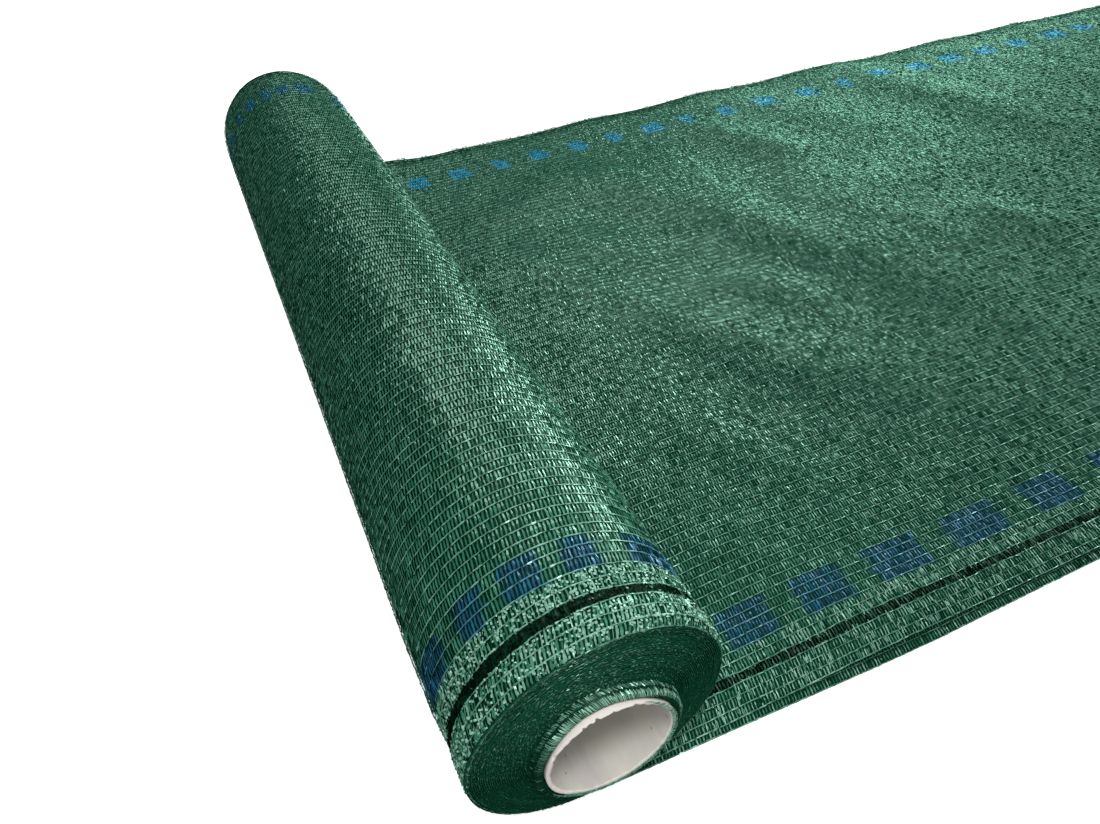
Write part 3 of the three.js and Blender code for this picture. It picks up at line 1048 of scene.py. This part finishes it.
thirds = [0, last_cell // 3, 2 * last_cell // 3, last_cell]
for number, cells in enumerate(zip(thirds, thirds[1:])):
    runs = tape_runs(sheet_start, loose_length, cells, loose_marks, loose_style, 20 + number)
    ribbons(f"loose_tapes_{number + 1}", upper_layer, runs, tape_material)
runs = tape_runs(0, turn_length, (0, last_cell), roll_marks, roll_style, 30)
ribbons("roll_tapes", outer_turn, runs, tape_material)

# %% [markdown]
# ## Loops near the selvage
#
# Near the selvage the tape is thrown into small loops that stand up and catch the light, and most of them
# are also painted pale mint, a painted highlight. On the roll they are short and plump, and on the loose end
# they are drawn out into thin slanted strokes. They are strips like the tapes, but thrown at random, since
# the real ones keep to no row. Black ones lie in the black band and a little over its edges, which makes it
# ragged.


# %% The loops near the selvage
fleck_zone = (0.5, 45)
fleck_cell = 7
band_edge_noise = (0.4 * MM, 0.8 * MM)


def fleck_runs(last_s, length, half, pitch, seed):
    """Loops in the cells near the selvage: on average one for each pitch along the net and cell across."""
    rng = np.random.default_rng(seed)
    count = int(last_s / pitch * fleck_zone[1] / fleck_cell)
    middle_s = rng.uniform(0, last_s, count)
    middle_w = rng.uniform(*fleck_zone, count) * MM
    edge = rng.normal(*band_edge_noise, count)
    black = 1.0 * ((middle_w > chains[band_cell] - edge) & (middle_w < chains[band_cell + 1] + edge))
    reach = length * rng.uniform(0.6, 1.3, count)[:, None] * np.array([-0.5, 0.5])
    s = middle_s[:, None] + selvage_slant * reach
    w = np.clip(middle_w[:, None] + reach, 0, None)
    half = np.clip(rng.normal(half, 0.25 * half, (count, 1)), 0.1 * MM, None) * np.ones(2)
    twist = rng.normal(0, math.radians(24), (count, 1)) + rng.normal(0, math.radians(6), (count, 2))
    lift = (0.8 + rng.uniform(0, 0.4, (count, 1)) + rng.normal(0, 0.12, (count, 2))) * MM
    # Painted highlight: most loops get a tone over 1.2, which paints them pale mint.
    dye_and_painted_light = dyes_and_painted_light(0, black, rng.uniform(0.8, 4.2, count) - 1.5 * black)
    return strips(s, w, lift, half, twist, dye_and_painted_light)


runs = fleck_runs(turn_length, 1.25 * MM, 0.6 * MM, 0.7 * MM, 80)
ribbons("roll_flecks", outer_turn, runs, tape_material)
runs = fleck_runs(loose_length, 4.5 * MM, 0.28 * MM, 3.2 * MM, 81)
ribbons("loose_flecks", upper_layer, runs, tape_material)

# %% [markdown]
# ## The chains of stitches
#
# A chain is a row of loops, each of which grips the tapes on both sides of it. Seen from where one stands it
# is a thin pale line. A modelled loop would be too fine to see, so each is one short quad that starts low and
# ends high, over the start of the next one.


# %% The chains
def chain_runs(first_s, last_s, numbers, marks, faint_chain, darkest, seed):
    """The stitches of some chains. The lower their darkest tone, the more dashed a chain looks."""
    rng = np.random.default_rng(seed)
    course = np.arange(math.ceil(first_s / course_pitch), math.floor(last_s / course_pitch))
    chain, course = (part.ravel() for part in np.meshgrid(np.arange(*numbers), course, indexing="ij"))
    count = len(chain)
    start = course * course_pitch
    s = start[:, None] + np.array([0, 1.2]) * course_pitch
    w = chain_place(chain, start)[:, None] + rng.normal(0, 0.12 * MM, (count, 2))
    half = rng.normal(0.46, 0.08, count)[:, None] * np.array([1, 0.8]) * MM
    half *= np.where(chain == faint_chain, 0.5, 1)[:, None]
    twist = rng.normal(0, math.radians(20), (count, 1)) + np.zeros(2)
    lift = np.array([0.66, 0.95]) * MM + rng.normal(0, 0.09 * MM, (count, 2))
    blue = blueness(start, np.minimum(chain, last_cell - 1), marks, rng)
    dye_and_painted_light = dyes_and_painted_light(blue, 0, rng.uniform(darkest, 1, count))
    return strips(s, w, lift, half, twist, dye_and_painted_light)


halves = [0, len(chains) // 2, len(chains)]
for number, numbers in enumerate(zip(halves, halves[1:])):
    runs = chain_runs(sheet_start, loose_length, numbers, loose_marks, 2, -1, 40 + number)
    ribbons(f"loose_chains_{number + 1}", upper_layer, runs, stitch_material)
runs = chain_runs(0, turn_length, (0, len(chains)), roll_marks, None, 0.1, 50)
ribbons("roll_chains", outer_turn, runs, stitch_material)

# %% [markdown]
# ## The lower selvage and the fold
#
# The lower layer peeps out beyond the upper selvage by 2 to 9 mm, so its first two cells are knitted as well.
# The rest of it lies hidden and stays bare. At the far edge the net turns round the fold: a dark line inside
# it, which is painted shade in the last two cells, and here and there outside it a thin pale one, where a
# chain of stitches has rolled over the fold and is painted pale as a highlight. Only tapes and stitches that
# show there are made.

# %% The lower selvage and the fold
fold_courses_under_roll = 8
fold_chain_start = 30
fold_sway = (2.3, 5.1, 9.7, 23)
fold_chain_tilt = math.radians(-50)
runs = tape_runs(0, loose_length, (0, 2), [], lower_style, 60)
ribbons("lower_selvage_tapes", lower_layer, runs, tape_material)
runs = chain_runs(0, loose_length, (0, 2), [], 1, -1, 61)
ribbons("lower_selvage_chains", lower_layer, runs, stitch_material)


def fold_runs(last_s, seed):
    """The tapes that bend over the fold."""
    rng = np.random.default_rng(seed)
    count = int(last_s / course_pitch) - fold_courses_under_roll
    end_w = fold_edge - near_edge - fold_radius
    course = np.arange(count) + fold_courses_under_roll
    s = course[:, None] * course_pitch + np.array([0, 0.4]) * MM
    w = np.stack([end_w - rng.uniform(2.5, 4.5, count) * MM, np.full(count, end_w)], axis=-1)
    half = rng.uniform(0.8, 1.2, (count, 1)) * np.ones(2) * MM
    twist = rng.normal(0, math.radians(16), (count, 2))
    lift = np.array([0.7, 0.35]) * MM + np.zeros((count, 1))
    dye_and_painted_light = dyes_and_painted_light(0, 0, rng.uniform(0, 0.8, count))
    return strips(s, w, lift, half, twist, dye_and_painted_light)


def fold_chain_runs(last_s, seed):
    """The stitches outside the fold, painted pale as a highlight.
    A slow wave along the net decides where they show.
    """
    rng = np.random.default_rng(seed)
    start = np.arange(fold_chain_start, int(last_s / course_pitch) - 1) * course_pitch
    wave = sum(np.sin(2 * math.pi * start * k + k) for k in fold_sway)
    start = start[wave + rng.normal(0, 0.5, len(start)) > -0.6]
    count = len(start)
    s = start[:, None] + np.array([0, 1.15]) * course_pitch
    w = fold_edge - near_edge + rng.uniform(-0.3, 0.8, (count, 1)) * MM + rng.normal(0, 0.1 * MM, (count, 2))
    half = rng.uniform(0.8, 1.3, (count, 1)) * np.ones(2) * MM
    lift = np.full((count, 2), 0.9 * MM)
    twist = fold_chain_tilt + rng.normal(0, math.radians(16), (count, 2))
    dye_and_painted_light = dyes_and_painted_light(0, 0, rng.uniform(0.6, 3.0, count))
    return strips(s, w, lift, half, twist, dye_and_painted_light)


ribbons("fold_tapes", upper_layer, fold_runs(loose_length, 62), stitch_material)
ribbons("fold_chain", upper_layer, fold_chain_runs(loose_length, 63), stitch_material)

# %% [markdown]
# ## The near end of the roll
#
# On the end of the roll the selvage loops of every turn stand out as small bright specks. There is one for
# each course, with some left out. They are strips again, and only what carries them changes: the rings of the
# end take the place of the flat net, with the angle for the way along and the radius for the way across.

# %% The loops on the end
face_scale = 66 * MM
loop_tilt = math.radians(-38)


def loops_on_face(s, w, lift):
    """Places on the near end: s is an angle times face_scale, and w a radius."""
    return on_face(s / face_scale, w / MM, -lift / MM)


def loop_runs(seed):
    """One loop for each course on each turn, with some left out."""
    rng = np.random.default_rng(seed)
    rows = []
    for number, r in enumerate(turns):
        count = int(2 * math.pi * r * MM / course_pitch)
        angle = (np.arange(count) + rng.uniform(-0.3, 0.3, count)) * 2 * math.pi / count
        angle = angle[rng.uniform(0, 1, count) < 0.9]
        rows.append(np.stack([angle, np.full(len(angle), r - 0.2), turn_slide(number, angle)], axis=-1))
    angle, r, slide = np.concatenate(rows).T
    count = len(angle)
    length = rng.uniform(0.9, 2.3, count)[:, None] * MM
    s = angle[:, None] * face_scale + np.array([-0.5, 0.5]) * length
    w = r[:, None] * MM + rng.normal(0, 0.15 * MM, (count, 2))
    half = rng.uniform(0.1, 0.21, (count, 1)) * np.ones(2) * MM
    twist = loop_tilt + rng.normal(0, math.radians(22), (count, 2))
    lift = (0.35 + rng.uniform(0, 0.3, count) - slide)[:, None] * MM + np.zeros(2)
    dye_and_painted_light = dyes_and_painted_light(0, rng.uniform(0, 0.9, count), rng.uniform(-0.5, 0.8, count))
    return strips(s, w, lift, half, twist, dye_and_painted_light)


ribbons("roll_end_loops", loops_on_face, loop_runs(70), stitch_material)

# %% [markdown]
# ## The collar on the tube
#
# The innermost turns were wound a little further out, so they sleeve the tube with a collar of short tapes,
# pale above and dark on the left. Two rows of strips make it: a fine one, and a bolder one along the edge.
# The pale above is partly a painted highlight, and the dark side is a painted shade, since the lights alone
# don't make it as dark as it is on the real net.

# %% The collar on the tube
collar_radius = 46 * MM
collar_knots = {"w": [0, 1.5, 3, 9], "y": [-519, -518.3, -517, -510], "r": [43.2, 45.6, 46.8, 47.6]}
shade_begins = 125
shade_full = 170
shade_ends = 5
# The palest tone of a row paints the light that the collar's tapes catch on top: a painted highlight.
collar_names = ("pitch", "near", "length", "lift", "half", "palest")
fine_row = dict(zip(collar_names, (0.42 * course_pitch, 5.2, 2.4, 0.5, 0.22, 1.2)))
edge_row = dict(zip(collar_names, (0.35 * course_pitch, 0.0, 4.2, 0.2, 0.3, 3.2)))


def on_collar(s, w, lift):
    """Places on the collar: s runs round it, w in from its near edge."""
    w, s, lift = np.broadcast_arrays(w / MM, s, lift)
    y = np.interp(w, collar_knots["w"], collar_knots["y"]) + bare_length / MM * bareness(s / collar_radius)
    r = np.interp(w, collar_knots["w"], collar_knots["r"]) + lift / MM
    return on_roll(s / collar_radius, y, r, 1, 0, 0)


def collar_runs(row, seed):
    """One row of short tapes round the collar. From the upper left on they get a painted shade:
    a lower tone, and mostly black.
    """
    rng = np.random.default_rng(seed)
    count = int(2 * math.pi * collar_radius / row["pitch"])
    start = (np.arange(count) + rng.uniform(-0.15, 0.15, count)) * row["pitch"]
    s = start[:, None] + np.array([0, 0.9, 1.8]) * MM + rng.normal(0, 0.15 * MM, (count, 3))
    reach = row["length"] * rng.uniform(0.75, 1.1, count)[:, None]
    w = row["near"] * MM + np.array([0, 0.5, 1]) * reach * MM + rng.normal(0, 0.25 * MM, (count, 1))
    half = np.clip(rng.normal(row["half"], 0.12, (count, 1)), 0.2, None) * np.array([0.7, 1, 0.6]) * MM
    twist = rng.normal(0, math.radians(20), (count, 1)) + rng.normal(0, math.radians(14), (count, 3))
    lift = row["lift"] * MM + rng.uniform(0, 0.4, (count, 3)) * MM
    angle = start / collar_radius
    # Painted shade: by their angle round the tube, the tapes on the left get a lower tone and black.
    shaded = smooth_step(shade_begins, shade_full, np.degrees(angle)) * (angle < shade_ends)
    tone = rng.uniform(0.1, row["palest"], count) * (1 - 0.85 * shaded)
    black = shaded * (rng.uniform(0, 1, count) < 0.75) * 0.9
    return strips(s, w, lift, half, twist, dyes_and_painted_light(0, black, tone))


ribbons("collar_tapes", on_collar, collar_runs(fine_row, 71), stitch_material)
ribbons("collar_edge", on_collar, collar_runs(edge_row, 72), stitch_material)

# %% [markdown]
# ## The threads over the rim
#
# On the right and below, loose threads of the innermost turn lie over the tube's cut rim. They run from its
# outer edge inwards and end before its inner one. On the upper left they are missing, and the board is bare.

# %% The threads over the rim
rim_radius = tube_radius + 1.2 * MM
rim_pitch = 0.8 * MM


def on_rim(s, w, lift):
    """Places on the cut end of the tube: s runs round it, w in from its outer edge."""
    angle = s / rim_radius
    radius = rim_radius - w
    height = axis_height + radius * np.sin(angle)
    return np.stack([radius * np.cos(angle), tube_low.y - lift + 0 * angle, height], axis=-1)


def rim_runs(seed):
    """Threads over the rim, on the sides where the net covers it."""
    rng = np.random.default_rng(seed)
    count = int(2 * math.pi * rim_radius / rim_pitch)
    start = (np.arange(count) + rng.uniform(-0.3, 0.3, count)) * rim_pitch
    degrees = np.degrees(start / rim_radius)
    covered = smooth_step(205, 235, degrees) + smooth_step(60, 35, degrees)
    start = start[covered > 0]
    inward = 3.8 * covered[covered > 0] * rng.uniform(0.8, 1.05, len(start))
    count = len(start)
    s = start[:, None] + np.array([0, 1.2, 2.4]) * MM
    w = np.array([0.1, 0.8, 1])[None] * inward[:, None] * MM
    half = rng.uniform(0.2, 0.34, (count, 1)) * np.ones(3) * MM
    twist = rng.normal(0, math.radians(16), (count, 3))
    lift = (0.3 + rng.uniform(0, 0.3, (count, 1)) + np.array([0, 0.1, 0])) * MM
    dye_and_painted_light = dyes_and_painted_light(0, 0, rng.uniform(-0.4, 2.4, count))
    return strips(s, w, lift, half, twist, dye_and_painted_light)


ribbons("rim_threads", on_rim, rim_runs(73), stitch_material)

# %% [markdown]
# ## The studio
#
# The net is shown on a plain pale floor that glows a little, so that it stays white beside the dark net.
# Gloss mirrors all that is round it, and a white floor would turn the dark side of the roll grey. So the
# net's gloss doesn't see the floor, and the floor sheds no light on the net either. Then its dark side stays
# a full green, as on the real net.

# %% The floor
scene = bpy.context.scene
scene.view_settings.view_transform = "Standard"
floor_finish = Finish("floor")
floor_place = floor_finish.add("ShaderNodeTexCoord", output="Object")
floor_cloud = floor_finish.noise(floor_place, 0.6)
floor_shader = floor_finish.shader(
    Base_Color=floor_finish.mix(floor_cloud, rgb(0.80, 0.80, 0.80), rgb(0.84, 0.84, 0.84)),
    Roughness=0.9,
    Emission_Color=rgb(1, 1, 1),
    Emission_Strength=0.85,
)
floor_material = floor_finish.done(floor_shader)
floor_half = 12
floor_corners = [(x * floor_half, y * floor_half, 0) for x, y in ((-1, -1), (1, -1), (1, 1), (-1, 1))]
floor_mesh = bpy.data.meshes.new("floor")
floor_mesh.from_pydata(floor_corners, [], [(0, 1, 2, 3)])
floor_mesh.materials.append(floor_material)
floor = bpy.data.objects.new("floor", floor_mesh)
bpy.context.collection.objects.link(floor)
floor.visible_glossy = False
floor.visible_diffuse = False
print("floor", 2 * floor_half, "m wide")

# %% [markdown]
# ## The lights
#
# The ripples only show when the light comes low across them. So a large soft light stands low behind the net
# on the right, and the flat tapes send its glow towards the camera. Two more, above and on the right, fill
# in. A small one with a narrow beam shines into the tube's mouth and leaves its depth dark. The even light of
# the sky is kept out of the gloss for the same reason as the floor.

# %% The lights
world = bpy.data.worlds.new("studio")
scene.world = world
world.use_nodes = True
world.node_tree.nodes["Background"].inputs["Color"].default_value = rgb(1, 1, 1)
world.node_tree.nodes["Background"].inputs["Strength"].default_value = 0.48
world.cycles_visibility.glossy = False


def area_light(name, place, target, size, power, spread=180):
    """A rectangular light at a place, turned to a target. The spread of its beam is in degrees."""
    data = bpy.data.lights.new(name, "AREA")
    data.spread = math.radians(spread)
    data.shape = "RECTANGLE"
    data.size, data.size_y = size
    data.energy = power
    light = bpy.data.objects.new(name, data)
    light.location = place
    light.rotation_euler = (Vector(target) - Vector(place)).to_track_quat("-Z", "Y").to_euler()
    bpy.context.collection.objects.link(light)


area_light("back_right", (2.6, 2.25, 0.75), (0.5, 0.0, 0), (1.5, 0.8), 54)
area_light("overhead", (0.4, 2.0, 1.9), (0.1, 0.0, 0.1), (1.3, 1.6), 20)
area_light("right", (3.0, 0.9, 1.5), (0.7, -0.3, 0), (1.5, 1.5), 18)
area_light("tube_mouth", (-0.1, -0.8, 1.2), (0, -0.52, 0.06), (0.3, 0.3), 0.3, spread=34)
print("lights:", {light.name: round(light.energy, 2) for light in bpy.data.lights})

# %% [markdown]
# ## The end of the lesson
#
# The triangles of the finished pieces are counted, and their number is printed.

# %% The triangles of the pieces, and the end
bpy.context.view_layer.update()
triangles = sum(2 * len(mesh.polygons) for mesh in bpy.data.meshes if mesh.name != "floor")
print("about", triangles, "triangles in the pieces")
